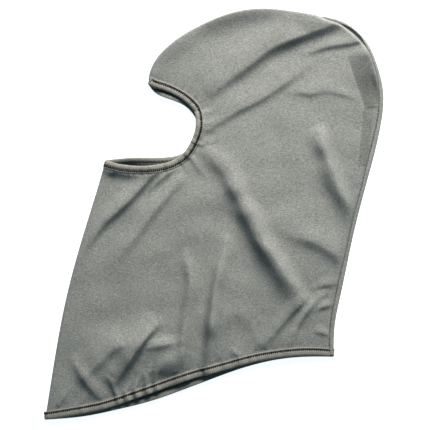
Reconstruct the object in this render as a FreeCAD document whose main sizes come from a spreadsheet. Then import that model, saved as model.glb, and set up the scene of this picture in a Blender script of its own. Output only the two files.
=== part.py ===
import FreeCAD, Part

import math
import os

import Sketcher

# ---------------------------------------------------------------------------
# Lightweight knitted balaclava, lying flat on its right side, crown at +Y,
# face opening towards -X, neck hem towards -Y, +Z up through the two layers.
#
# Two side panels are sewn together along the crown and back, and along the
# front of the neck.  The face opening and the neck hem are each bound with a
# folded strip.  All lengths are in millimetres.
# ---------------------------------------------------------------------------

doc = FreeCAD.newDocument("balaclava")

# ------------------------------------------------------------- dimensions ---
sheet = doc.addObject("Spreadsheet::Sheet", "Sheet")
CELLS = [
    ("fabric_t", 0.7, "thickness of the knitted fabric"),
    ("leaf_t", 0.6, "thickness of one leaf of a binding strip"),
    ("allow_w", 6.0, "width of the sewn seam allowance inside the garment"),
    ("hem_w", 6.0, "finished width of the neck hem binding"),
    ("face_w", 6.5, "finished width of the face opening binding"),
    ("hem_slot", 1.0, "fold of the hem binding to the panel's raw edge"),
    ("face_slot", 3.4, "fold of the face binding to the panel's raw edge"),
    ("elastic_near", 0.7, "fold of the face binding to the elastic"),
    ("elastic_far", 3.2, "fold of the face binding to the elastic's far edge"),
    ("thread_t", 0.3, "thickness of a laid row of sewing thread"),
    ("stitch_near", 4.3, "fold of a binding to the near side of its stitch row"),
    ("stitch_far", 5.3, "fold of a binding to the far side of its stitch row"),
    ("z_leaf_top", 2.0, "top of the lower binding, and the seam line's height"),
    ("z_edge", 3.4, "height of the upper panel just inside the seam"),
    ("z_rise", 6.5, "height of the upper panel at in_rise"),
    ("z_flank", 9.5, "height of the upper panel at in_flank"),
    ("z_crest", 12.0, "height of the upper panel's flat middle"),
    ("in_edge", 0.3, "inset from the seam at z_edge"),
    ("in_rise", 6.0, "inset from the seam at z_rise"),
    ("in_flank", 15.0, "inset from the seam at z_flank"),
    ("in_crest", 34.0, "inset from the seam where the flat middle starts"),
    ("overlock_in", 3.0, "start of the overlock thread on the allowance"),
    ("overlock_w", 3.5, "width of the overlock thread on the allowance"),
    ("tack_len", 6.4, "length of the bar tack across the hem binding"),
    ("tack_w", 1.6, "width of the bar tack"),
    ("tack_t", 0.5, "height of the bar tack"),
]
for row, (alias, value, note) in enumerate(CELLS, start=1):
    sheet.set("A%d" % row, note)
    sheet.set("B%d" % row, repr(float(value)))
    sheet.setAlias("B%d" % row, alias)
# derived heights
DERIVED = [
    ("z_panel", "=leaf_t", "underside of the lower panel"),
    ("z_panel_top", "=leaf_t + fabric_t", "top of the lower panel"),
    ("z_allow_top", "=z_leaf_top + fabric_t", "top of the upper allowance"),
    ("z_join_low", "=z_leaf_top - leaf_t", "underside of the upper binding"),
    ("z_groove", "=z_leaf_top - thread_t / 2", "underside of the seam thread"),
]
for k, (alias, formula, note) in enumerate(DERIVED, start=len(CELLS) + 1):
    sheet.set("A%d" % k, note)
    sheet.set("B%d" % k, formula)
    sheet.setAlias("B%d" % k, alias)
doc.recompute()


def cell(alias):
    return float(getattr(sheet, alias))


# ------------------------------------------------------------- pattern ------
# The four sides of the flat shape, counter-clockwise seen from above.
FRONT = [(-114.5, 57.0), (-122.9, 27.6), (-136.5, -16.5), (-148.6, -58.5), (-158.6, -100.5),
         (-166.4, -142.5), (-173.2, -184.5), (-178.0, -216.0)]
HEM_LOW = [(-178.0, -216.0), (-137.0, -212.4), (-103.4, -205.5), (-69.8, -197.1), (-36.2, -185.6),
           (-2.6, -173.0), (31.0, -161.2), (64.6, -153.0), (95.0, -149.9), (125.5, -149.9)]
HEM_TOP = [(-178.0, -216.0), (-162.2, -213.5), (-140.2, -209.7), (-113.4, -204.0), (-86.6, -195.0),
           (-59.9, -185.6), (-33.1, -176.1), (-10.3, -169.3), (16.3, -162.1), (38.3, -156.0),
           (78.2, -149.4), (105.5, -148.4), (125.5, -149.9)]
BACK = [(125.5, -149.9), (126.5, -116.3), (132.8, -83.7), (140.7, -45.9), (149.1, -8.1), (160.1, 33.9),
        (169.6, 69.6), (176.4, 104.2), (177.5, 128.4), (172.7, 151.5), (163.3, 175.6), (149.6, 192.9),
        (129.7, 204.5), (98.2, 210.8), (63.5, 215.8), (26.8, 214.1), (-10.0, 201.3), (-39.4, 184.5),
        (-59.3, 166.2), (-67.7, 150.4), (-69.8, 136.8)]
FACE_LOW = [(-69.8, 136.8), (-62.5, 127.8), (-50.9, 122.1), (-34.3, 115.6), (-24.7, 107.9),
            (-18.4, 96.9), (-19.4, 84.3), (-25.7, 70.6), (-38.3, 62.2), (-63.5, 59.6),
            (-88.7, 59.2), (-114.5, 57.0)]
FACE_TOP = [(-69.8, 136.8), (-64.0, 133.4), (-55.8, 130.8), (-45.0, 126.5), (-34.3, 120.5),
            (-26.2, 113.8), (-21.5, 107.6), (-19.5, 97.9), (-20.3, 88.5), (-24.9, 76.3),
            (-31.6, 65.6), (-39.7, 58.9), (-50.4, 54.2), (-63.7, 51.5), (-77.2, 50.7),
            (-90.5, 51.4), (-104.0, 53.6), (-114.5, 57.0)]

REACH = 36.0  # every side runs on past its corners, so that offset sides still cross
COUNTS = {"front": 8, "hem": 12, "back": 28, "face": 18}


def fine(points, n):
    """The smooth curve through the points, run on past both ends, as n short pieces."""
    curve = Part.BSplineCurve()
    curve.interpolate([FreeCAD.Vector(x, y, 0) for x, y in points])
    p = [(v.x, v.y) for v in curve.discretize(Number=n)]

    def beyond(a, b):
        long = math.hypot(a[0] - b[0], a[1] - b[1])
        ux, uy = (a[0] - b[0]) / long, (a[1] - b[1]) / long
        return [(a[0] + ux * REACH * k / 9, a[1] + uy * REACH * k / 9) for k in range(1, 10)]

    return beyond(p[0], p[2])[::-1] + p + beyond(p[-1], p[-3])


SIDES = {
    "front": fine(FRONT, 120),
    "hem_low": fine(HEM_LOW, 130),
    "hem_top": fine(HEM_TOP, 130),
    "back": fine(BACK, 260),
    "face_low": fine(FACE_LOW, 150),
    "face_top": fine(FACE_TOP, 150),
}
_offsets = {}


def offset(side, d):
    """The side moved d towards the inside of the fabric (to its left)."""
    key = (side, round(d, 4))
    if key not in _offsets:
        p = SIDES[side]
        out = []
        for i in range(len(p)):
            a, b = p[max(i - 1, 0)], p[min(i + 1, len(p) - 1)]
            long = math.hypot(b[0] - a[0], b[1] - a[1])
            nx, ny = -(b[1] - a[1]) / long, (b[0] - a[0]) / long
            out.append((p[i][0] + nx * d, p[i][1] + ny * d))
        _offsets[key] = out
    return _offsets[key]


def crossing(p, q, p_end, q_end):
    """Where polyline p, near its end p_end, crosses q near q_end: indices and point."""
    def window(points, end):
        n = len(points)
        share = int(n * 0.45)
        return range(n - 2, n - 2 - share, -1) if end == "last" else range(0, share)

    for i in window(p, p_end):
        ax, ay = p[i]
        bx, by = p[i + 1]
        rx, ry = bx - ax, by - ay
        for j in window(q, q_end):
            cx, cy = q[j]
            dx, dy = q[j + 1]
            if max(cx, dx) < min(ax, bx) - 1e-9 or min(cx, dx) > max(ax, bx) + 1e-9:
                continue
            sx, sy = dx - cx, dy - cy
            det = rx * sy - ry * sx
            if abs(det) < 1e-12:
                continue
            t = ((cx - ax) * sy - (cy - ay) * sx) / det
            u = ((cx - ax) * ry - (cy - ay) * rx) / det
            if -1e-9 <= t <= 1 + 1e-9 and -1e-9 <= u <= 1 + 1e-9:
                return i, j, (ax + t * rx, ay + t * ry)
    raise ValueError("two sides of the pattern do not cross")


def resample(points, n):
    along = [0.0]
    for a, b in zip(points, points[1:]):
        along.append(along[-1] + math.hypot(b[0] - a[0], b[1] - a[1]))
    out, k = [], 0
    for i in range(n):
        at = along[-1] * i / (n - 1)
        while k < len(along) - 2 and along[k + 1] < at:
            k += 1
        span = along[k + 1] - along[k]
        t = 0 if span < 1e-12 else (at - along[k]) / span
        a, b = points[k], points[k + 1]
        out.append((a[0] + t * (b[0] - a[0]), a[1] + t * (b[1] - a[1])))
    out[0], out[-1] = points[0], points[-1]
    return out


def section(d_front, d_hem, d_back, d_face, layer):
    """The four sides of the flat shape, each moved inwards by its own distance."""
    f, h = offset("front", d_front), offset("hem_" + layer, d_hem)
    b, c = offset("back", d_back), offset("face_" + layer, d_face)
    fi, hi, p_fh = crossing(f, h, "last", "first")
    hj, bi, p_hb = crossing(h, b, "last", "first")
    bj, ci, p_bc = crossing(b, c, "last", "first")
    cj, fj, p_cf = crossing(c, f, "last", "first")
    return [
        resample([p_cf] + f[fj + 1 : fi + 1] + [p_fh], COUNTS["front"]),
        resample([p_fh] + h[hi + 1 : hj + 1] + [p_hb], COUNTS["hem"]),
        resample([p_hb] + b[bi + 1 : bj + 1] + [p_bc], COUNTS["back"]),
        resample([p_bc] + c[ci + 1 : cj + 1] + [p_cf], COUNTS["face"]),
    ]


def strip(side, near, far, d_before, d_after, layer):
    """A band along one side, from near to far inside it, cut off at its two neighbours."""
    full = {"front": "front", "back": "back", "hem": "hem_" + layer, "face": "face_" + layer}
    order = ["front", "hem", "back", "face"]
    k = order.index(side)
    before, after = full[order[k - 1]], full[order[(k + 1) % 4]]
    rows = []
    for d in (near, far):
        p = offset(full[side], d)
        i, _, start = crossing(p, offset(before, d_before), "first", "last")
        j, _, end = crossing(p, offset(after, d_after), "last", "first")
        rows.append(resample([start] + p[i + 1 : j + 1] + [end], COUNTS[side]))
    a, b = rows
    return [a, [a[-1], b[-1]], b[::-1], [b[0], a[0]]]


def curves(sides):
    made = []
    for points in sides:
        v = [FreeCAD.Vector(x, y, 0) for x, y in points]
        if len(v) == 2:
            made.append(Part.LineSegment(v[0], v[1]))
        else:
            c = Part.BSplineCurve()
            c.interpolate(v)
            made.append(c)
    return made


# ------------------------------------------------------------- builders -----
def flat_sketch(name, sides, z):
    """A closed sketch at height z, an expression in the sheet's cells."""
    s = doc.addObject("Sketcher::SketchObject", name)
    s.addGeometry(curves(sides), False)
    s.setExpression(".Placement.Base.z", z)
    return s


# Each level of the upper panel: height cell, inset cell, and the outward
# direction of its surface there as (up, towards the seam).
LEVELS = [
    ("z_leaf_top", None, 0.0, 1.0),
    ("z_edge", "in_edge", 0.45, 0.9),
    ("z_rise", "in_rise", 0.72, 0.69),
    ("z_flank", "in_flank", 0.9, 0.44),
    ("z_crest", "in_crest", 1.0, 0.0),
]


def dome(name, out, d_hem, d_face, z_start):
    """The crowned form of the upper layer, grown outwards by out (a number), from z_start up."""
    sections = []
    for k, (z, inset, up, side) in enumerate(LEVELS):
        d = (cell(inset) if inset else 0.0) - out * side
        expression = z_start if k == 0 else "Sheet.%s + (%.4f)" % (z, out * up)
        sections.append(flat_sketch(name + "_s%d" % k, section(d, d_hem, d, d_face, "top"), expression))
    loft = doc.addObject("Part::Loft", name)
    loft.Sections = sections
    loft.Solid = True
    loft.Ruled = True
    return loft


def prism(name, sides, z0, height):
    """A straight-sided solid on a closed outline, from z0 up by height (expressions)."""
    s = flat_sketch(name + "_outline", sides, z0)
    e = doc.addObject("Part::Extrusion", name)
    e.Base = s
    e.DirMode = "Custom"
    e.Dir = FreeCAD.Vector(0, 0, 1)
    e.Solid = True
    e.setExpression("LengthFwd", height)
    return e


def cut(name, a, b):
    c = doc.addObject("Part::Cut", name)
    c.Base, c.Tool = a, b
    return c


def common(name, a, b):
    c = doc.addObject("Part::Common", name)
    c.Base, c.Tool = a, b
    return c


def fuse(name, *parts):
    f = doc.addObject("Part::MultiFuse", name)
    f.Shapes = list(parts)
    return f


def origin_plane(body, role):
    return [f for f in body.Origin.OriginFeatures if f.Role == role][0]


def padded_body(name, layers):
    """A body made of pads, each (outlines, height of its sketch, thickness), as expressions."""
    body = doc.addObject("PartDesign::Body", name)
    if hasattr(body, "AllowCompound"):
        body.AllowCompound = True
    for k, (outlines, z, thick) in enumerate(layers):
        s = body.newObject("Sketcher::SketchObject", name + "_sketch%d" % k)
        s.AttachmentSupport = (origin_plane(body, "XY_Plane"), [""])
        s.MapMode = "FlatFace"
        s.setExpression("AttachmentOffset.Base.z", z)
        for sides in outlines:
            s.addGeometry(curves(sides), False)
        pad = body.newObject("PartDesign::Pad", name + "_pad%d" % k)
        pad.Profile = s
        pad.setExpression("Length", thick)
        body.Tip = pad
        doc.recompute()
    return body


H, F = cell("hem_slot"), cell("face_slot")
T, LEAF = cell("fabric_t"), cell("leaf_t")
ALLOW = cell("allow_w")

# ------------------------------------------------------- the two panels -----
# Lower (right) side panel: a flat sheet, its edge folded back over itself as
# the seam allowance along the front and along the back and crown.
right_panel = padded_body(
    "right_side_panel",
    [
        ([section(0, H, 0, F, "low")], "Sheet.z_panel", "Sheet.fabric_t"),
        (
            [strip("front", T / 2, ALLOW, F, H, "low"), strip("back", T / 2, ALLOW, H, F, "low")],
            "Sheet.z_panel_top",
            "Sheet.z_leaf_top - Sheet.z_panel_top",
        ),
    ],
)

# Upper (left) side panel: a crowned shell, open at the hem and the face.
left_outer = dome("left_outer", 0.0, H, F, "Sheet.z_leaf_top")
left_cavity = dome("left_cavity", -T, -6.0, -6.0, "Sheet.z_leaf_top - 0.5")
left_shell = cut("left_shell", left_outer, left_cavity)
left_allow_front = prism("left_allow_front", strip("front", T / 2, ALLOW, F, H, "top"), "Sheet.z_leaf_top", "Sheet.fabric_t")
left_allow_back = prism("left_allow_back", strip("back", T / 2, ALLOW, H, F, "top"), "Sheet.z_leaf_top", "Sheet.fabric_t")
left_panel = fuse("left_panel_fused", left_shell, left_allow_front, left_allow_back)
left_panel.Label = "left_side_panel"

# ------------------------------------------------------- the bindings -------
bind_outer = dome("bind_outer", LEAF, 0.0, 0.0, "Sheet.z_join_low")
bind_cavity = dome("bind_cavity", -T - LEAF, -6.0, -6.0, "Sheet.z_join_low - 0.5")
TALL = "Sheet.z_crest + 6"

hem_top_zone = prism("hem_top_zone", strip("hem", -0.2, cell("hem_w"), -3, -3, "top"), "Sheet.z_join_low - 0.2", TALL)
hem_top = cut("hem_top", common("hem_top_wall", bind_outer, hem_top_zone), bind_cavity)
hem_low = prism("hem_low", strip("hem", 0, cell("hem_w"), -LEAF - 0.12, -LEAF - 0.12, "low"), "0", "Sheet.z_leaf_top")
face_top_zone = prism("face_top_zone", strip("face", -0.2, cell("face_w"), -3, -3, "top"), "Sheet.z_join_low - 0.2", TALL)
face_top = cut("face_top", common("face_top_wall", bind_outer, face_top_zone), bind_cavity)
face_low = prism("face_low", strip("face", 0, cell("face_w"), -LEAF - 0.12, -LEAF - 0.12, "low"), "0", "Sheet.z_leaf_top")

# ------------------------------------------------------- face elastic -------
E0, E1 = cell("elastic_near"), cell("elastic_far")
elastic_outer = dome("elastic_outer", -0.02, H, E0, "Sheet.z_leaf_top")
elastic_zone = prism("elastic_zone", strip("face", E0 - 0.1, E1, -3, -3, "top"), "Sheet.z_join_low", TALL)
elastic_top = cut("elastic_top", common("elastic_wall", elastic_outer, elastic_zone), left_cavity)
elastic_low = prism("elastic_low", strip("face", E0, E1, 1.0, 1.0, "low"), "Sheet.z_panel", "Sheet.fabric_t")
posts = []
for tip, (before, after) in {"crown_tip": ("back", "face"), "chin_tip": ("face", "front")}.items():
    full = {"back": "back", "front": "front", "face": "face_low"}
    inset = {"back": 2.0, "front": 2.0, "face": 1.95}
    _, _, point = crossing(offset(full[before], inset[before]), offset(full[after], inset[after]), "last", "first")
    post = doc.addObject("Part::Cylinder", "elastic_" + tip)
    post.Radius = 1.15
    post.setExpression("Height", "Sheet.z_edge - Sheet.z_panel")
    post.setExpression(".Placement.Base.x", "%.3f" % point[0])
    post.setExpression(".Placement.Base.y", "%.3f" % point[1])
    post.setExpression(".Placement.Base.z", "Sheet.z_panel")
    posts.append(post)
elastic = fuse("elastic_fused", elastic_top, elastic_low, *posts)
elastic.Label = "face_opening_elastic"

# ------------------------------------------------------- sewing threads -----
S0, S1 = cell("stitch_near"), cell("stitch_far")
thread_outer = dome("thread_outer", LEAF + cell("thread_t"), 1.0, 1.0, "Sheet.z_leaf_top")
bind_skin = dome("bind_skin", LEAF, -6.0, -6.0, "Sheet.z_join_low - 0.5")
thread_inner = dome("thread_inner", -T - LEAF - cell("thread_t"), -8.0, -8.0, "Sheet.z_join_low - 0.6")


def stitch_rows(side, name_out, name_in):
    """The needle thread outside the binding and the looper thread inside it."""
    zone = prism(name_out + "_zone", strip(side, S0, S1, 2.0, 2.0, "top"), "Sheet.z_leaf_top + 1.4", TALL)
    top = cut(name_out + "_top", common(name_out + "_wall", thread_outer, zone), bind_skin)
    low = prism(name_out + "_low", strip(side, S0, S1, 1.0, 1.0, "low"), "0", "Sheet.thread_t")
    needle = fuse(name_out + "_fused", top, low)
    needle.Label = name_out
    zone_in = prism(name_in + "_zone", strip(side, S0 - 0.2, S1 + 0.2, 7.0, 7.0, "top"), "Sheet.z_leaf_top + 1.0", TALL)
    top_in = cut(name_in + "_top", common(name_in + "_wall", bind_cavity, zone_in), thread_inner)
    low_in = prism(name_in + "_low", strip(side, S0 - 0.2, S1 + 0.2, 7.0, 7.0, "low"), "Sheet.z_leaf_top", "Sheet.thread_t")
    looper = fuse(name_in + "_fused", top_in, low_in)
    looper.Label = name_in
    return needle, looper, low


hem_needle, hem_looper, hem_needle_low = stitch_rows("hem", "hem_needle_thread", "hem_looper_thread")
face_needle, face_looper, face_needle_low = stitch_rows("face", "face_binding_needle_thread", "face_binding_looper_thread")

# Bindings: both halves joined round the corners, with the channels for the
# panels' raw edges, the elastic and the sunk rows of thread left open.
hem_whole = fuse("hem_whole", hem_top, hem_low)
hem_minus_left = cut("hem_minus_left", hem_whole, left_panel)
hem_minus_panels = cut("hem_minus_panels", hem_minus_left, right_panel)
hem_binding = cut("hem_binding_cut", hem_minus_panels, hem_needle_low)
hem_binding.Label = "hem_binding"
face_whole = fuse("face_whole", face_top, face_low)
face_minus_left = cut("face_minus_left", face_whole, left_panel)
face_minus_panels = cut("face_minus_panels", face_minus_left, right_panel)
face_minus_elastic = cut("face_minus_elastic", face_minus_panels, elastic)
face_binding = cut("face_binding_cut", face_minus_elastic, face_needle_low)
face_binding.Label = "face_opening_binding"

HW, FW = cell("hem_w") + 0.2, cell("face_w") + 0.2
IN0 = cell("overlock_in")
IN1 = IN0 + cell("overlock_w")


def seam_threads(side, seam_name, overlock_name):
    """The seam's needle thread in the groove, and the overlock thread round the allowances."""
    before, after = (HW, FW) if side == "back" else (FW, HW)
    seam = padded_body(
        seam_name,
        [([strip(side, -0.4, -0.02, before, after, "low")], "Sheet.z_groove", "Sheet.thread_t")],
    )
    overlock = padded_body(
        overlock_name,
        [
            ([strip(side, ALLOW + 0.02, IN1, before, after, "low")], "Sheet.z_panel_top", "Sheet.z_allow_top - Sheet.z_panel_top"),
            ([strip(side, IN0, IN1, before, after, "low")], "Sheet.z_allow_top", "Sheet.thread_t"),
        ],
    )
    return seam, overlock


back_seam, back_overlock = seam_threads("back", "crown_back_seam_thread", "crown_back_overlock_thread")
front_seam, front_overlock = seam_threads("front", "front_seam_thread", "front_overlock_thread")

# Bar tack where the ends of the hem strip overlap, across the upper binding.
k = min(range(len(SIDES["hem_top"]) - 1), key=lambda i: abs(SIDES["hem_top"][i][0] + 10.5))
(ax, ay), (bx, by) = SIDES["hem_top"][k], SIDES["hem_top"][k + 1]
turn = math.degrees(math.atan2(by - ay, bx - ax))
tack = doc.addObject("Part::Box", "tack")
tack.Label = "hem_join_bar_tack"
tack.setExpression("Length", "Sheet.tack_w")
tack.setExpression("Width", "Sheet.tack_len")
tack.setExpression("Height", "Sheet.tack_t")
tack.Placement.Rotation = FreeCAD.Rotation(FreeCAD.Vector(0, 0, 1), turn)
tack.setExpression(".Placement.Base.x", "%.3f" % ax)
tack.setExpression(".Placement.Base.y", "%.3f" % ay)
tack.setExpression(".Placement.Base.z", "Sheet.z_crest + Sheet.leaf_t + Sheet.thread_t")

doc.recompute()

# ------------------------------------------------------------- checks -------
failed = [o.Name for o in doc.Objects if "Invalid" in o.State or "Error" in o.State]
if failed:
    raise RuntimeError("these objects did not build: %s" % failed)

NODES = [right_panel, left_panel, hem_binding, face_binding, elastic, hem_needle, hem_looper,
         face_needle, face_looper, back_seam, back_overlock, front_seam, front_overlock, tack]
for node in NODES:
    shape = node.Shape
    if shape.isNull() or not shape.isValid() or not shape.Solids or min(s.Volume for s in shape.Solids) <= 0:
        raise RuntimeError("%s has no valid solid" % node.Label)

os.makedirs("parts", exist_ok=True)
for node in NODES:
    shape = Part.makeCompound(node.Shape.Solids) if len(node.Shape.Solids) > 1 else node.Shape.Solids[0]
    shape.exportStep(os.path.join("parts", node.Label + ".step"))
    box = shape.BoundBox
    print("%-28s solids %2d  volume %9.1f  x %7.1f %7.1f  y %7.1f %7.1f  z %5.2f %5.2f" % (
        node.Label, len(node.Shape.Solids), shape.Volume, box.XMin, box.XMax, box.YMin, box.YMax, box.ZMin, box.ZMax))
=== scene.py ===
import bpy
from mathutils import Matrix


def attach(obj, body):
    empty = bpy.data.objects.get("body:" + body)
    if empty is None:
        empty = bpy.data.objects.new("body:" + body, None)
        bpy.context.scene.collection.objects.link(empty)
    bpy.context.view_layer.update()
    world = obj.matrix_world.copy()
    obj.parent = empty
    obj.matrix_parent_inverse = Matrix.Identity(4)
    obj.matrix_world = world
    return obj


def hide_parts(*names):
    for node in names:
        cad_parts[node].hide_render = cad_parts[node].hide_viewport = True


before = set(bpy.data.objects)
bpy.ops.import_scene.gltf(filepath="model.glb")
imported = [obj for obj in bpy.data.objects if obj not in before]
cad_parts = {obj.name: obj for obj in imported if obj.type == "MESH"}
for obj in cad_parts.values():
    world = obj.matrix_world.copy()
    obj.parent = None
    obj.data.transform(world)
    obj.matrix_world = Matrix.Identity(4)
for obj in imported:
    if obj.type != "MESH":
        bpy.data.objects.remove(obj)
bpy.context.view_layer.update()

import math

import bpy
import numpy as np
from mathutils.geometry import delaunay_2d_cdt

# ---------------------------------------------------------------------------
# A thin satin-knit balaclava laid flat on its right side.  Lengths in this
# script are millimetres until a mesh is made.
# ---------------------------------------------------------------------------

MM = 0.001
FABRIC = 0.7
rng = np.random.default_rng(41)

# ------------------------------------------------------------- pattern ------
FRONT = [(-114.5, 57.0), (-122.9, 27.6), (-136.5, -16.5), (-148.6, -58.5), (-158.6, -100.5),
         (-166.4, -142.5), (-173.2, -184.5), (-178.0, -216.0)]
HEM_LOW = [(-178.0, -216.0), (-137.0, -212.4), (-103.4, -205.5), (-69.8, -197.1), (-36.2, -185.6),
           (-2.6, -173.0), (31.0, -161.2), (64.6, -153.0), (95.0, -149.9), (125.5, -149.9)]
HEM_TOP = [(-178.0, -216.0), (-162.2, -213.5), (-140.2, -209.7), (-113.4, -204.0), (-86.6, -195.0),
           (-59.9, -185.6), (-33.1, -176.1), (-10.3, -169.3), (16.3, -162.1), (38.3, -156.0),
           (78.2, -149.4), (105.5, -148.4), (125.5, -149.9)]
BACK = [(125.5, -149.9), (126.5, -116.3), (132.8, -83.7), (140.7, -45.9), (149.1, -8.1), (160.1, 33.9),
        (169.6, 69.6), (176.4, 104.2), (177.5, 128.4), (172.7, 151.5), (163.3, 175.6), (149.6, 192.9),
        (129.7, 204.5), (98.2, 210.8), (63.5, 215.8), (26.8, 214.1), (-10.0, 201.3), (-39.4, 184.5),
        (-59.3, 166.2), (-67.7, 150.4), (-69.8, 136.8)]
FACE_LOW = [(-69.8, 136.8), (-62.5, 127.8), (-50.9, 122.1), (-34.3, 115.6), (-24.7, 107.9),
            (-18.4, 96.9), (-19.4, 84.3), (-25.7, 70.6), (-38.3, 62.2), (-63.5, 59.6),
            (-88.7, 59.2), (-114.5, 57.0)]
FACE_TOP = [(-69.8, 136.8), (-64.0, 133.4), (-55.8, 130.8), (-45.0, 126.5), (-34.3, 120.5),
            (-26.2, 113.8), (-21.5, 107.6), (-19.5, 97.9), (-20.3, 88.5), (-24.9, 76.3),
            (-31.6, 65.6), (-39.7, 58.9), (-50.4, 54.2), (-63.7, 51.5), (-77.2, 50.7),
            (-90.5, 51.4), (-104.0, 53.6), (-114.5, 57.0)]

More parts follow.
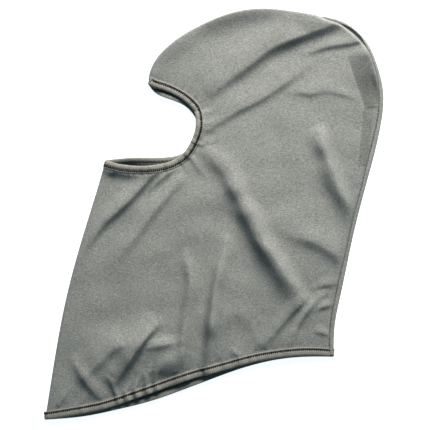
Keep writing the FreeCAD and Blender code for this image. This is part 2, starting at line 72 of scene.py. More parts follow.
# Folds of the upper layer: width of the steep side, width of the gentle side,
# then points (x, y, height) along the steep side's line, crest on the left.
FOLDS = [
    (7.0, 30.0, [(-8.9, 120.0, 0.93), (3.7, 127.3, 2.96), (24.7, 142.0, 4.81), (43.6, 156.7, 6.10), (66.7, 172.5, 7.21), (89.8, 181.9, 7.21), (113.9, 190.8, 5.55), (132.8, 198.7, 2.96)]),
    (3.4, 9.0, [(99.2, 167.2, 0.84), (108.7, 170.4, 2.04), (119.2, 173.5, 2.64), (131.8, 175.6, 2.76), (144.4, 177.7, 2.52), (155.9, 180.9, 1.56)]),
    (5.0, 20.0, [(-11.0, 82.2, 2.10), (-2.6, 88.5, 2.66), (5.8, 93.7, 2.80), (26.8, 106.3, 3.08), (53.0, 120.0, 3.08), (79.3, 137.8, 2.52), (100.3, 153.6, 0.98)]),
    (13.5, 9.0, [(-18.4, 65.4, 0.84), (-7.9, 54.9, 1.89), (3.7, 44.4, 3.15), (12.1, 27.6, 4.83), (21.5, 9.7, 6.30), (32.0, -12.3, 7.14), (42.5, -32.3, 7.77), (56.2, -56.4, 8.40), (69.8, -77.4, 7.98), (80.3, -92.1, 4.20), (87.7, -101.6, 0.84)]),
    (7.0, 62.0, [(-15.2, 67.5, 0.60), (3.7, 44.4, 2.20), (21.5, 9.7, 3.20), (42.5, -32.3, 3.40), (64.6, -69.0, 2.00), (78.2, -90.0, 0.20)]),
    (8.0, 9.0, [(-80.3, -159.3, 0.44), (-67.7, -154.1, 1.98), (-54.1, -149.9, 2.42), (-41.5, -144.6, 0.66)]),
    (10.0, 11.0, [(-67.7, -173.0, 1.20), (-53.0, -166.7, 4.40), (-38.3, -157.2, 4.80), (-25.7, -142.5, 1.20)]),
    (10.5, 7.5, [(99.2, 90.6, 0.63), (102.4, 82.2, 4.20), (106.6, 69.6, 6.72), (111.8, 53.8, 7.35), (119.2, 32.8, 7.77), (127.6, 15.0, 6.72), (138.1, -1.8, 3.36)]),
    (8.0, 15.0, [(66.7, -20.7, 0.88), (79.3, -27.0, 1.87), (94.0, -31.2, 2.86), (110.8, -38.6, 3.52), (127.6, -50.1, 3.30), (137.0, -58.5, 1.98)]),
    (4.6, 10.0, [(-137.0, -45.9, 1.00), (-122.3, -22.8, 3.75), (-105.5, -3.9, 5.00), (-84.5, 15.0, 5.50), (-67.7, 33.9, 5.00), (-56.2, 44.4, 3.50)]),
    (5.5, 9.0, [(-99.2, -50.1, 0.69), (-83.5, -30.2, 2.53), (-59.3, 2.4, 3.22), (-46.7, 18.1, 3.22), (-35.2, 30.7, 2.07)]),
    (6.0, 9.0, [(6.8, -30.2, 2.05), (2.6, -50.1, 5.74), (-1.6, -69.0, 7.79), (-5.8, -98.4, 9.02), (-7.9, -119.4, 9.84), (-10.0, -140.4, 6.97), (-11.0, -157.2, 3.69)]),
    (5.6, 9.0, [(-34.1, -45.9, 1.08), (-29.9, -69.0, 4.32), (-32.0, -90.0, 4.68), (-35.2, -113.1, 4.68), (-38.3, -142.5, 4.68), (-42.5, -161.4, 2.52)]),
    (4.6, 17.0, [(-100.3, -176.1, 3.24), (-90.8, -161.4, 7.83), (-82.4, -148.8, 9.99), (-71.9, -134.1, 8.64), (-60.4, -120.5, 3.51)]),
    (6.4, 8.0, [(-70.9, -145.7, 2.20), (-60.4, -142.5, 5.28), (-49.9, -140.4, 5.28), (-40.4, -138.3, 1.98)]),
    (7.0, 18.0, [(-129.7, -169.8, 2.25), (-113.9, -155.1, 5.50), (-100.3, -142.5, 4.50), (-91.9, -138.3, 1.50)]),
    (4.8, 9.0, [(-150.7, -155.1, 1.04), (-141.2, -171.9, 2.60), (-132.8, -183.5, 2.86), (-123.4, -194.0, 1.69)]),
    (2.3, 4.0, [(-109.7, -178.2, 1.08), (-106.6, -185.6, 2.04), (-102.4, -195.0, 1.56)]),
    (4.6, 9.0, [(54.1, -138.3, 1.35), (70.9, -119.4, 2.55), (85.6, -102.6, 3.00), (94.0, -93.2, 1.65)]),
    (3.0, 5.0, [(82.4, -138.3, 1.17), (86.6, -123.6, 1.95), (95.0, -108.9, 2.21), (106.6, -94.2, 1.69), (117.1, -85.8, 0.78)]),
    (2.6, 5.0, [(108.7, -101.6, 0.77), (117.1, -98.4, 2.09), (128.6, -96.3, 1.87)]),
    (2.6, 5.0, [(108.7, -125.7, 0.84), (117.1, -127.8, 2.04), (125.5, -131.0, 1.80)]),
    (3.2, 6.0, [(106.6, -78.5, 0.60), (117.1, -76.4, 1.50), (129.7, -74.3, 1.40)]),
    (3.0, 8.0, [(82.4, 125.2, 0.50), (91.9, 125.2, 1.20), (101.3, 124.2, 1.40), (113.9, 127.3, 1.00), (131.8, 124.2, 1.10), (146.5, 118.9, 0.60)]),
    (2.2, 3.5, [(-12.1, 100.0, 0.81), (-6.8, 103.2, 0.54), (0.5, 108.4, 0.14)]),
    (2.2, 3.5, [(-11.0, 90.6, 0.90), (-5.8, 92.7, 0.54), (1.6, 96.9, 0.14)]),
    (2.4, 4.0, [(-12.1, 72.7, 1.00), (-3.7, 74.8, 0.70), (8.9, 79.0, 0.20)]),
    (2.6, 4.0, [(-27.8, 59.1, 0.99), (-18.4, 46.5, 0.88), (-11.0, 37.0, 0.22)]),
    (3.0, 5.0, [(-66.7, 23.4, 0.64), (-57.2, 32.8, 2.24), (-44.6, 43.3, 2.56)]),
    (2.4, 4.0, [(-113.9, 39.1, 0.72), (-105.5, 43.3, 1.44), (-95.0, 46.5, 1.20)]),
    (2.4, 5.0, [(17.3, -144.6, 0.20), (22.6, -148.8, 1.20), (27.8, -154.1, 1.40)]),
    (2.0, 3.2, [(-91.9, -187.7, 2.64), (-88.7, -181.4, 1.76), (-85.6, -175.1, 0.44)]),
    (2.0, 3.2, [(-81.4, -183.5, 2.64), (-79.3, -177.2, 1.98), (-76.1, -169.8, 0.44)]),
    (2.0, 3.2, [(-69.8, -178.2, 2.86), (-68.8, -170.9, 2.20), (-66.7, -162.5, 0.66)]),
    (2.0, 3.2, [(-60.4, -175.1, 2.31), (-59.3, -167.7, 1.68), (-57.2, -160.4, 0.42)]),
    (2.2, 3.5, [(-29.9, -166.7, 1.35), (-27.8, -159.3, 1.05), (-24.7, -150.9, 0.30)]),
    (2.0, 3.2, [(12.1, -156.2, 1.20), (14.2, -149.9, 0.90), (17.3, -142.5, 0.30)]),
    (2.0, 3.2, [(39.4, -149.9, 0.98), (41.5, -143.6, 0.70), (44.6, -136.2, 0.28)]),
    (2.2, 3.5, [(-160.1, -199.2, 1.20), (-155.9, -191.9, 1.20), (-151.7, -184.5, 0.45)]),
    (2.2, 3.5, [(-137.0, -198.2, 1.35), (-133.9, -190.8, 1.05), (-131.8, -184.5, 0.30)]),
    (9.0, 12.0, [(18.4, -121.5, 0.48), (22.6, -108.9, 1.20), (34.1, -121.5, 1.20), (39.4, -134.1, 0.60)]),
    (8.0, 14.0, [(-67.7, -50.1, 0.40), (-48.8, -42.8, 0.70), (-29.9, -33.3, 0.80), (-11.0, -22.8, 0.40)]),
    (12.0, 20.0, [(-40.4, -8.1, 0.40), (-25.7, 0.3, 0.80), (-0.5, 4.5, 0.40)]),
]


def even(q, step=None, n=None):
    """Points evenly spaced along the polyline q."""
    q = np.asarray(q, float)
    s = np.r_[0, np.cumsum(np.linalg.norm(np.diff(q, axis=0), axis=1))]
    n = n or max(2, int(round(s[-1] / step)) + 1)
    x = np.linspace(0, s[-1], n)
    return np.stack([np.interp(x, s, q[:, i]) for i in range(q.shape[1])], 1)


def smooth_curve(points, step):
    """The natural cubic spline through the points, evenly sampled."""
    p = np.asarray(points, float)
    n = len(p)
    t = np.r_[0, np.cumsum(np.sqrt(np.linalg.norm(np.diff(p[:, :2], axis=0), axis=1)))]
    h = np.diff(t)
    A, B = np.eye(n), np.zeros((n, p.shape[1]))
    for i in range(1, n - 1):
        A[i, i - 1], A[i, i], A[i, i + 1] = h[i - 1], 2 * (h[i - 1] + h[i]), h[i]
        B[i] = 6 * ((p[i + 1] - p[i]) / h[i] - (p[i] - p[i - 1]) / h[i - 1])
    M = np.linalg.solve(A, B)
    tt = np.linspace(0, t[-1], 60 * n)
    k = np.clip(np.searchsorted(t, tt, side="right") - 1, 0, n - 2)
    a, b, hk = (t[k + 1] - tt) / h[k], (tt - t[k]) / h[k], h[k]
    q = a[:, None] * p[k] + b[:, None] * p[k + 1]
    q += ((a**3 - a)[:, None] * M[k] + (b**3 - b)[:, None] * M[k + 1]) * (hk**2)[:, None] / 6
    return even(q, step)


def tangents(p, closed=False):
    if closed:
        t = np.roll(p, -1, axis=0) - np.roll(p, 1, axis=0)
    else:
        t = np.gradient(p, axis=0)
    return t / np.maximum(np.linalg.norm(t, axis=1, keepdims=True), 1e-12)


def left(t):
    return np.stack([-t[:, 1], t[:, 0]], 1)


STEP = 0.8
CURVE = {k: smooth_curve(v, STEP) for k, v in dict(
    front=FRONT, hem_low=HEM_LOW, hem_top=HEM_TOP, back=BACK, face_low=FACE_LOW, face_top=FACE_TOP).items()}
NORMAL = {k: left(tangents(v)) for k, v in CURVE.items()}


def smoothstep(a, b, x):
    t = np.clip((x - a) / (b - a), 0, 1)
    return t * t * (3 - 2 * t)


def nearest(P, key):
    """Distance from each point to a side of the pattern, and the side's nearest index."""
    C = CURVE[key]
    d, k = np.empty(len(P)), np.empty(len(P), int)
    for i in range(0, len(P), 4000):
        v = ((P[i : i + 4000, None, :] - C[None]) ** 2).sum(2)
        k[i : i + 4000] = v.argmin(1)
        d[i : i + 4000] = np.sqrt(v.min(1))
    # refine to the true perpendicular distance
    v = P - C[k]
    across = (v * NORMAL[key][k]).sum(1)
    inner = (k > 0) & (k < len(C) - 1)
    d = np.where(inner, np.abs(across), d)
    return d, k


# The seam runs on top, a little inside the outline, round the back of the head
# and down the back of the neck, and slips underneath towards the forehead.
_back_s = np.r_[0, np.cumsum(np.linalg.norm(np.diff(CURVE["back"], axis=0), axis=1))]
_k_turn = int(np.argmin(((CURVE["back"] - np.array([121.0, 206.5])) ** 2).sum(1)))
_s_turn = _back_s[_k_turn]
BACK_TOP = 1 - smoothstep(_s_turn - 4, _s_turn + 24, _back_s)
_k_gap = int(np.argmin(((CURVE["back"] - np.array([149.6, 192.9])) ** 2).sum(1)))
GAP = np.exp(-(((_back_s - _back_s[_k_gap]) / 17.0) ** 4))
SEAM_IN = (4.2 + 0.5 * np.sin(_back_s / 31.0) + 0.3 * np.sin(_back_s / 11.0 + 1) + 1.2 * GAP) * BACK_TOP
Z_MID, R_EDGE = 2.3, 3.0


def waves(P, length, seed, n=22):
    """Smooth unevenness of roughly unit size with features of about the given length."""
    r = np.random.default_rng(seed)
    out = np.zeros(len(P))
    for _ in range(n):
        a = r.uniform(0, 2 * np.pi)
        w = 2 * np.pi / (length * r.uniform(0.7, 1.8))
        out += np.sin(P[:, 0] * w * np.cos(a) + P[:, 1] * w * np.sin(a) + r.uniform(0, 2 * np.pi))
    return out / math.sqrt(n / 2)


def fold_height(P):
    h = np.zeros(len(P))
    bend = waves(P, 34, 5)
    lively = 1 + 0.05 * waves(P, 30, 6)
    for wd, wl, pts in FOLDS:
        line = smooth_curve(pts, 1.5)
        C, A = line[:, :2], np.maximum(line[:, 2], 0)
        T = tangents(C)
        L = left(T)
        lo, hi = C.min(0) - 3.2 * max(wd, wl) - 8, C.max(0) + 3.2 * max(wd, wl) + 8
        m = np.flatnonzero(((P > lo) & (P < hi)).all(1))
        for i in range(0, len(m), 8000):
            q = m[i : i + 8000]
            v = P[q, None, :] - C[None]
            k = (v**2).sum(2).argmin(1)
            v = P[q] - C[k]
            across = (v * L[k]).sum(1) - 0.72 * wd + 0.04 * wd * bend[q]
            along = (v * T[k]).sum(1)
            amp = A[k] * np.exp(-((along / (0.9 * wd + 3)) ** 2)) * lively[q]
            up = np.exp(-((np.maximum(across, 0) / wl) ** 2) * 1.1)
            down = np.exp(-(np.abs(np.minimum(across, 0) / wd) ** 1.9) * 1.15)
            h[q] += amp * np.where(across >= 0, up, down)
    return h


def facet(P):
    """The two flat, sharp-edged bands where the seam allowances prop the fabric up."""
    h = np.zeros(len(P))
    bands = [
        ([(139.0, 166.0), (144.5, 152.5), (149.6, 138.0), (152.8, 127.0), (157.0, 115.2)], 0.17, 20.0, 112.5, 178.0),
        ([(156.2, 112.0), (155.4, 102.0), (153.8, 90.0), (152.0, 76.0), (150.8, 60.0), (150.5, 50.5)], 0.22, 7.0, 51.5, 110.5),
    ]
    for edge, slope, wide, y0, y1 in bands:
        e = np.array(edge)[::-1]
        x0 = np.interp(P[:, 1], e[:, 1], e[:, 0])
        run = np.clip(P[:, 0] - x0, 0, wide)
        soft = np.sqrt(run**2 + 0.5) - math.sqrt(0.5)
        m = smoothstep(y0 - 1.8, y0 + 1.8, P[:, 1]) * (1 - smoothstep(y1 - 12, y1, P[:, 1]))
        back = smoothstep(wide, wide + 9, P[:, 0] - x0)
        h += slope * np.maximum(soft, 0) * m * (1 - back if wide < 10 else 1)
    return h


def mouth_point(P, d, k, key, far):
    """Points nearer than far to a bound mouth take the height found far inside it."""
    C, N = CURVE[key], NORMAL[key]
    q = C[k] + N[k] * far
    t = smoothstep(far, far + 3.0, d)[:, None]
    return q * (1 - t) + P * t


HEM_FLAT, FACE_FLAT = 9.4, 8.4


def dome(d):
    return 1 - np.exp(-((np.maximum(d, 0) / 19.0) ** 1.25))


def upper_height(P):
    """Height of the outer face of the upper layer."""
    dh, kh = nearest(P, "hem_top")
    df, kf = nearest(P, "face_top")
    Q = mouth_point(P, dh, kh, "hem_top", HEM_FLAT)
    Q = np.where((df < FACE_FLAT + 3.0)[:, None], mouth_point(P, df, kf, "face_top", FACE_FLAT), Q)
    db, kb = nearest(Q, "back")
    dr, _ = nearest(Q, "front")
    s = SEAM_IN[kb]
    top = BACK_TOP[kb]
    inward = np.minimum(dr, np.maximum(db - s, 0))
    Qdh, _ = nearest(Q, "hem_top")
    Qdf, _ = nearest(Q, "face_top")
    brow = smoothstep(88, 104, Q[:, 1])
    mouth = (1 - 0.70 * np.exp(-((Qdh / 26.0) ** 2))) * (1 - (0.36 - 0.02 * brow) * np.exp(-((Qdf / 24.0) ** 2)))
    # along the crown the allowances inside prop the fabric up near the outline
    crown = smoothstep(118, 150, Q[:, 1])
    rise = crown * (2.4 + 4.8 * np.exp(-(((Q[:, 0] - 30.0) / 64.0) ** 2)))
    prop = rise * np.exp(-((db / 13.5) ** 2))
    height = dome(inward) * (1 - crown) + crown
    plateau = 4.6 + 3.5 * height * mouth
    relief = fold_height(Q) + facet(Q)
    # the lower lip of the face opening stands up a little near the front edge
    lip = 3.9 * np.exp(-((np.maximum(Qdf - 8.0, 0) / 5.5) ** 2)) * np.exp(-(((Q[:, 0] + 96.0) / 30.0) ** 2)) * (Q[:, 1] < 80)
    relief += 0.34 * waves(Q, 46, 1) + 0.07 * waves(Q, 15, 2) * (0.4 + 0.6 * np.exp(-((Qdh / 60.0) ** 2)))
    # small gathers that the bindings draw into the fabric beside them
    sh = kh * STEP
    gather_h = 0.20 * np.sin(2 * np.pi * sh / 8.7 + 1.3 * np.sin(sh / 17.0)) + 0.12 * np.sin(2 * np.pi * sh / 5.3 + np.sin(sh / 9.0))
    sf = kf * STEP
    gather_f = 0.30 * np.sin(2 * np.pi * sf / 7.3 + 1.1 * np.sin(sf / 13.0)) + 0.18 * np.sin(2 * np.pi * sf / 4.6)
    lull = 0.55 + 0.45 * np.sin(sh / 41.0 + 2.0)
    relief += gather_h * lull * np.exp(-np.maximum(dh - HEM_FLAT, 0) / 6.5)
    relief += gather_f * np.exp(-np.maximum(df - FACE_FLAT, 0) / 5.5)
    ease = smoothstep(0.0, 11.0, np.minimum(dr, np.maximum(db - s, 0)))
    ease = np.maximum(ease, crown)
    z = plateau + prop + lip + relief * (0.25 + 0.75 * ease)
    z = np.maximum(z, 2.5)
    # rolled edges: over the outline where the seam is underneath, into the groove where it's on top
    dbp, kbp = nearest(P, "back")
    drp, _ = nearest(P, "front")
    sp, tp = SEAM_IN[kbp], BACK_TOP[kbp]
    roll_f = np.sqrt(1 - (1 - np.clip(drp / R_EDGE, 0, 1)) ** 2)
    roll_b = np.sqrt(1 - (1 - np.clip(dbp / 1.9, 0, 1)) ** 2)
    groove = 1 - 0.5 * np.exp(-((np.maximum(dbp - sp, 0) / 1.2) ** 2))
    roll = roll_f * (roll_b * (1 - tp) + groove * tp)
    return Z_MID + (z - Z_MID) * roll


def lower_height(P):
    """Height of the outer face, which is the underside, of the lower layer."""
    dh, kh = nearest(P, "hem_low")
    df, kf = nearest(P, "face_low")
    db, kb = nearest(P, "back")
    dr, _ = nearest(P, "front")
    z = 0.42 + 0.16 * waves(P, 40, 11) + 0.05 * waves(P, 14, 12)
    curl = 4.4 * np.exp(-(((P[:, 0] + 86.0) / 24.0) ** 2)) * (P[:, 1] < 80)
    curl += 3.0 * np.exp(-(((P[:, 0] + 48.0) / 18.0) ** 2)) * (P[:, 1] >= 80)
    lift = (0.9 + 1.5 * np.exp(-(((P[:, 0] + 50.0) / 60.0) ** 2))) * np.exp(-((dh / 8.0) ** 2)) + (0.5 + curl) * np.exp(-((df / 7.5) ** 2))
    z = np.maximum(z, 0.06) + lift
    roll = np.sqrt(1 - (1 - np.clip(np.minimum(db, dr) / R_EDGE, 0, 1)) ** 2)
    return Z_MID - (Z_MID - z) * roll


# ------------------------------------------------------------- cloth mesh ---
def offset_curve(key, d, reach=30.0):
    C, N = CURVE[key], NORMAL[key]
    d = np.broadcast_to(np.asarray(d, float), (len(C),))
    q = C + N * d[:, None]
    a, b = q[0] - q[3], q[-1] - q[-4]
    a, b = a / np.linalg.norm(a), b / np.linalg.norm(b)
    ext = np.linspace(0, reach, 30)[1:, None]
    return np.vstack([(q[0] + a * ext)[::-1], q, q[-1] + b * ext]), 29


def cross(p, q):
    """The crossing of two polylines nearest to the end of p and the start of q."""
    a, b = p[:-1, None, :], p[1:, None, :]
    c, d = q[None, :-1, :], q[None, 1:, :]
    r, s = b - a, d - c
    det = r[..., 0] * s[..., 1] - r[..., 1] * s[..., 0]
    det = np.where(np.abs(det) < 1e-12, 1e-12, det)
    w = c - a
    t = (w[..., 0] * s[..., 1] - w[..., 1] * s[..., 0]) / det
    u = (w[..., 0] * r[..., 1] - w[..., 1] * r[..., 0]) / det
    hit = np.argwhere((t >= 0) & (t <= 1) & (u >= 0) & (u <= 1))
    if not len(hit):
        raise ValueError("sides do not cross")
    i, j = max(hit.tolist(), key=lambda h: h[0] - h[1])
    return i, j, p[i] + (p[i + 1] - p[i]) * t[i, j]


def region(sides, step):
    """The closed outline of four offset sides, as one evenly spaced loop and its four ranges."""
    order = ["front", "hem", "back", "face"]
    curves = {k: sides[k] for k in order}
    joins = []
    for a, b in zip(order, order[1:] + order[:1]):
        joins.append(cross(curves[a], curves[b]))
    arcs = {}
    for n, name in enumerate(order):
        _, start, p0 = joins[n - 1]
        end, _, p1 = joins[n]
        arcs[name] = even(np.vstack([p0, curves[name][start + 1 : end + 1], p1]), step)
    loop, ranges = [], {}
    for name in order:
        ranges[name] = (len(loop), len(loop) + len(arcs[name]) - 1)
        loop.extend(arcs[name][:-1].tolist())
    return np.array(loop), ranges


def inside(P, loop):
    out = np.zeros(len(P), bool)
    a, b = loop, np.roll(loop, -1, axis=0)
    for i in range(0, len(P), 3000):
        x, y = P[i : i + 3000, 0, None], P[i : i + 3000, 1, None]
        hit = (a[None, :, 1] > y) != (b[None, :, 1] > y)
        dy = np.where(np.abs(b[:, 1] - a[:, 1]) < 1e-12, 1e-12, b[:, 1] - a[:, 1])
        xs = a[None, :, 0] + (y - a[None, :, 1]) * ((b[:, 0] - a[:, 0]) / dy)[None]
        out[i : i + 3000] = (hit & (x < xs)).sum(1) % 2 == 1
    return out


def loop_distance(P, loop):
    d = np.empty(len(P))
    for i in range(0, len(P), 4000):
        d[i : i + 4000] = np.sqrt(((P[i : i + 4000, None, :] - loop[None]) ** 2).sum(2).min(1))
    return d


def triangulate(loop, extra, grid):
    """A fine, even triangle mesh of the region inside loop, keeping the extra points."""
    lo, hi = loop.min(0), loop.max(0)
    rows = np.arange(lo[1], hi[1], grid * 0.866)
    pts = []
    for n, y in enumerate(rows):
        x = np.arange(lo[0] + (grid / 2 if n % 2 else 0), hi[0], grid)
        pts.append(np.stack([x, np.full(len(x), y)], 1))
    pts = np.vstack(pts)
    pts = pts[inside(pts, loop)]
    pts = pts[loop_distance(pts, loop) > grid * 0.62]
    if len(extra):
        extra = extra[inside(extra, loop)]
        extra = extra[loop_distance(extra, loop) > 0.22]
        keep = np.ones(len(pts), bool)
        for i in range(0, len(pts), 4000):
            d = ((pts[i : i + 4000, None, :] - extra[None]) ** 2).sum(2).min(1)
            keep[i : i + 4000] = d > (grid * 0.5) ** 2
        pts = pts[keep]
        pts = np.vstack([extra, pts])
    n = len(loop)
    every = np.vstack([loop, pts])
    edges = [(i, (i + 1) % n) for i in range(n)]
    verts, _, faces, orig, _, _ = delaunay_2d_cdt([tuple(map(float, v)) for v in every], edges, [], 1, 1e-5, True)
    out = np.array([(v[0], v[1]) for v in verts])
    where = np.full(len(every), -1)
    for i, o in enumerate(orig):
        for j in o:
            where[j] = i
    tri = np.array([tuple(f) for f in faces if len(f) == 3])
    tri = tri[inside(out[tri].mean(1), loop)]
    a, b, c = out[tri[:, 0]], out[tri[:, 1]], out[tri[:, 2]]
    flip = (b[:, 0] - a[:, 0]) * (c[:, 1] - a[:, 1]) - (b[:, 1] - a[:, 1]) * (c[:, 0] - a[:, 0]) < 0
    tri[flip] = tri[flip][:, ::-1]
    return out, tri, where[:n]


def thicken(V, faces, t):
    """A closed sheet t thick: V and its faces are the outer side."""
    tris = []
    for f in faces:
        f = np.asarray(f)
        if f.shape[1] == 3:
            tris.append(f)
        else:
            tris.append(f[:, [0, 1, 2]])
            tris.append(f[:, [0, 2, 3]])
    tri = np.vstack(tris)
    n = np.cross(V[tri[:, 1]] - V[tri[:, 0]], V[tri[:, 2]] - V[tri[:, 0]])
    N = np.zeros_like(V)
    for i in range(3):
        np.add.at(N, tri[:, i], n)
    N /= np.maximum(np.linalg.norm(N, axis=1, keepdims=True), 1e-12)
    W = V - N * t
    m = len(V)
    edges = np.vstack([np.stack([f[:, i], f[:, (i + 1) % f.shape[1]]], 1) for f in map(np.asarray, faces) for i in range(f.shape[1])])
    key = edges[:, 0].astype(np.int64) * m + edges[:, 1]
    back = edges[:, 1].astype(np.int64) * m + edges[:, 0]
    rim = edges[~np.isin(key, back)]
    out = [np.asarray(f).tolist() for f in faces]
    all_faces = [f for g in out for f in g]
    all_faces += [[i + m for i in f[::-1]] for g in out for f in g]
    all_faces += [[int(b), int(a), int(a + m), int(b + m)] for a, b in rim]
    return np.vstack([V, W]), all_faces


LIFT = 0.95  # keeps the lowest edges of the far bindings and their threads on the surface


def mesh_object(name, V, faces, material, uv=None):
    me = bpy.data.meshes.new(name)
    me.from_pydata(((np.asarray(V) + (0.0, 0.0, LIFT)) * MM).tolist(), [], faces)
    me.polygons.foreach_set("use_smooth", np.ones(len(me.polygons), bool))
    if uv is not None:
        layer = me.uv_layers.new(name="cloth")
        idx = np.empty(len(me.loops), int)
        me.loops.foreach_get("vertex_index", idx)
        layer.data.foreach_set("uv", np.asarray(uv, np.float32)[idx].ravel())
    me.materials.append(material)
    me.update()
    ob = bpy.data.objects.new(name, me)
    bpy.context.scene.collection.objects.link(ob)
    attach(ob, "root")
    return ob


def strip_rows(V, index, rows):
    """Rows of new points beyond an arc of the mesh's rim, and the faces between them."""
    m = len(V)
    n = len(index)
    faces, prev = [], np.asarray(index)
    for r, row in enumerate(rows):
        now = m + r * n + np.arange(n)
        faces.append(np.stack([prev[1:], prev[:-1], now[:-1], now[1:]], 1))
        prev = now
    return np.vstack([V] + rows), np.vstack(faces)


def arc_index(where, ranges, name, n):
    a, b = ranges[name]
    return where[np.arange(a, b + 1) % n]


GRID = 1.55
EDGE_ROWS = (0.35, 0.9, 1.7, 2.7, 3.9)


def side_rows(keys, distances, lo=0.0):
    rows = []
    for key, base in keys:
        for d in distances:
            q, e = offset_curve(key, np.asarray(base) + d)
            rows.append(even(q[e:-e], GRID * 0.72))
    return np.vstack(rows)


def upper_panel():
    sides = {
        "front": offset_curve("front", 0.0)[0],
        "hem": offset_curve("hem_top", 1.7)[0],
        "back": offset_curve("back", SEAM_IN)[0],
        "face": offset_curve("face_top", 3.5)[0],
    }
    loop, ranges = region(sides, 1.15)
    extra = side_rows([("front", 0.0), ("back", SEAM_IN)], EDGE_ROWS)
    P, tri, where = triangulate(loop, extra, GRID)
    z = upper_height(P)
    V = np.column_stack([P, z])
    groups = [tri]
    for name in ("back", "front"):
        idx = arc_index(where, ranges, name, len(loop))
        _, k = nearest(V[idx, :2], name)
        c, nrm = CURVE[name][k], NORMAL[name][k]
        if name == "back":
            s, w = SEAM_IN[k][:, None], BACK_TOP[k][:, None]
        else:
            s, w = np.zeros((len(k), 1)), np.zeros((len(k), 1))
        z0 = V[idx, 2][:, None]
        under = [(0.15, 1.75), (0.6, 1.2), (1.5, 0.85), (2.3, 1.25), (4.5, 1.75), (7.6, 1.85)]
        over = [(0.12, -0.5), (0.4, -0.95), (1.2, -1.25), (2.4, -1.4), (4.5, -1.55), (6.4, -1.6)]
        rows = []
        # keep the row's base point on the mesh's own rim
        base_d = ((V[idx, :2] - c) * nrm).sum(1)[:, None]
        for (du, zu), (dt, zt) in zip(under, over):
            d = (base_d + du) * (1 - w) + (base_d + dt) * w
            zz = zu * (1 - w) + (z0 + zt) * w
            rows.append(np.column_stack([V[idx, :2] + nrm * (d - base_d), np.maximum(zz, 1.0)]))
        V, quads = strip_rows(V, idx, rows)
        groups.append(quads)
    return V, groups


def lower_panel():
    d_back = np.where(BACK_TOP > 0.5, 0.0, 0.0) + 1.6 * (1 - BACK_TOP)
    sides = {
        "front": offset_curve("front", 1.6)[0],
        "hem": offset_curve("hem_low", 1.7)[0],
        "back": offset_curve("back", d_back)[0],
        "face": offset_curve("face_low", 3.5)[0],
    }
    loop, ranges = region(sides, 1.15)
    extra = side_rows([("front", 1.6), ("back", d_back)], EDGE_ROWS)
    P, tri, where = triangulate(loop, extra, GRID * 1.15)
    z = lower_height(P)
    V = np.column_stack([P, z])
    groups = [tri[:, ::-1]]
    for name in ("back", "front"):
        idx = arc_index(where, ranges, name, len(loop))
        _, k = nearest(V[idx, :2], name)
        c, nrm = CURVE[name][k], NORMAL[name][k]
        if name == "back":
            s, w, gap = SEAM_IN[k][:, None], BACK_TOP[k][:, None], GAP[k][:, None]
        else:
            s, w, gap = np.zeros((len(k), 1)), np.zeros((len(k), 1)), np.zeros((len(k), 1))
        top = 4.75 + 0.25 * np.sin(k * STEP / 23.0)[:, None] + 0.15 * np.sin(k * STEP / 6.1)[:, None] - 0.9 * gap
        phi = np.radians([22, 45, 68, 90])
        over = [(2.0 * (1 - math.cos(f)), Z_MID + (top - Z_MID) * math.sin(f)) for f in phi]
        flat = s - 0.25 - 2.9 * gap
        over += [(0.5 * (2.0 + flat), top - 0.02), (flat - 0.25, top - 0.15), (flat + 0.1, top - 0.7), (s + 0.15, top - 1.6 - 0.8 * gap), (s + 3.0, top - 2.2), (s + 6.4, top - 2.3)]
        base_z = V[idx, 2][:, None]
        under = [(0.02 * (j + 1), base_z + 0.05 * (j + 1)) for j in range(4)]
        under += [(0.15, base_z + 0.3), (0.4, base_z + 0.4), (0.9, base_z + 0.5), (2.2, base_z + 0.6), (4.0, base_z + 0.7), (6.4, base_z + 0.75)]
        rows = []
        base_d = ((V[idx, :2] - c) * nrm).sum(1)[:, None]
        for (du, zu), (dt, zt) in zip(under, over):
            d = (base_d + du) * (1 - w) + dt * w
            zz = zu * (1 - w) + zt * w
            rows.append(np.column_stack([V[idx, :2] + nrm * (d - base_d), zz]))
        V, quads = strip_rows(V, idx, rows)
        groups.append(quads[:, ::-1])
    return V, groups


# ------------------------------------------------------------- sweeps -------
def resample3(p, step, closed=True):
    if closed:
        p = np.vstack([p, p[:1]])
    q = even(p, step)
    return q[:-1] if closed else q


